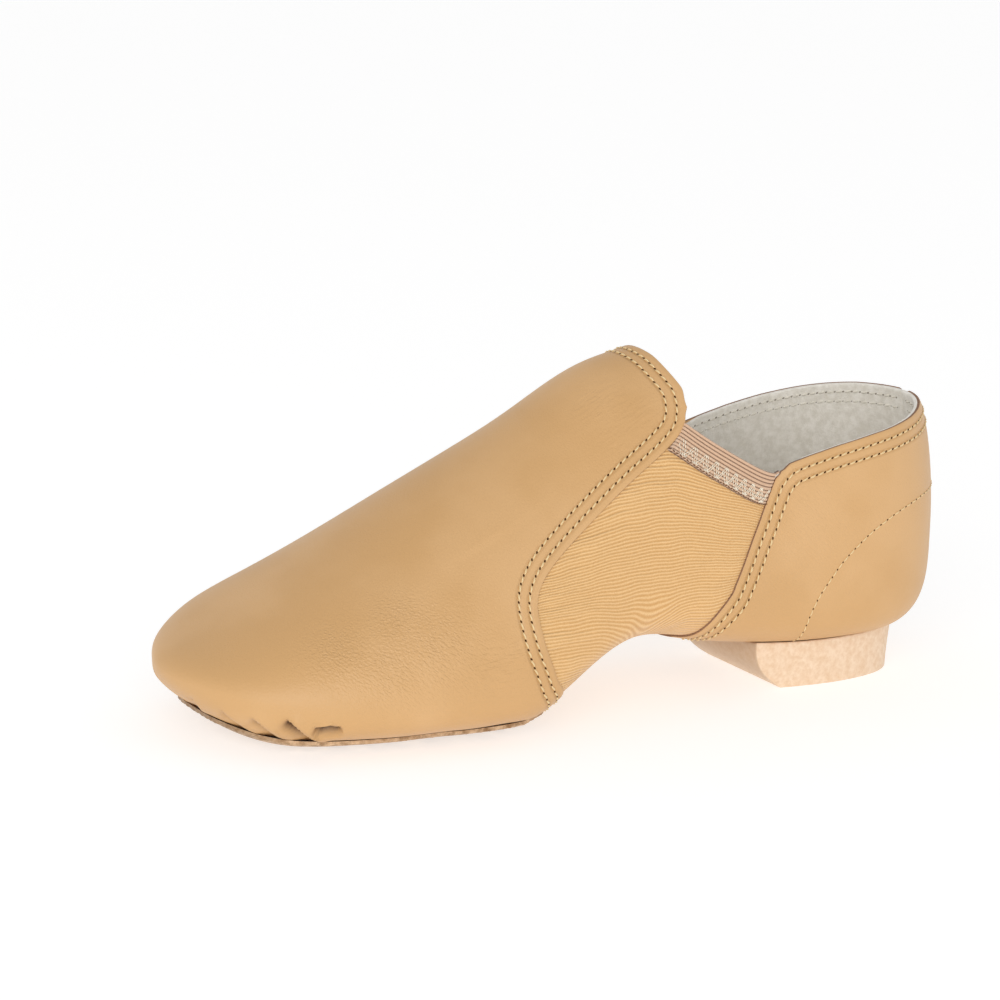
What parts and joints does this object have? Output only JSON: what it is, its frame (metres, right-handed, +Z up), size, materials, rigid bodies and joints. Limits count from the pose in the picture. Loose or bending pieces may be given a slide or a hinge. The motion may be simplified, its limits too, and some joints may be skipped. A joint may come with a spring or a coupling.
{
  "type": "jazz shoe",
  "caption": "Left slip-on jazz shoe: leather vamp and quarters over a stretch insert, elastic gores, split suede sole with a low heel block.",
  "frame": {"origin": "centre of the bounding box's footprint, on the floor that the heel and the forefoot stand on", "axes": "+Z up, the toe points along -Y and the heel along +Y, +X is the wearer's left, which is this shoe's outer side"},
  "size_m": [0.0894, 0.246, 0.1019],
  "materials": {
    "stretch_fabric": "orange-tan stretch fabric with a fine crosswise rib, grey microsuede lining behind",
    "leather": "smooth tan leather, satin",
    "elastic": "ribbed pinkish-tan woven elastic",
    "sock": "grey microsuede",
    "suede_sole": "rough suede split leather",
    "heel_block": "pale peach suede-faced block"
  },
  "bodies": {
    "root": {"upper": "stretch_fabric", "vamp": "leather", "quarter_left": "leather", "quarter_right": "leather", "elastic_left": "elastic", "elastic_right": "elastic", "insole": "sock", "forefoot_sole": "suede_sole", "heel": "heel_block"}
  },
  "joints": []
}
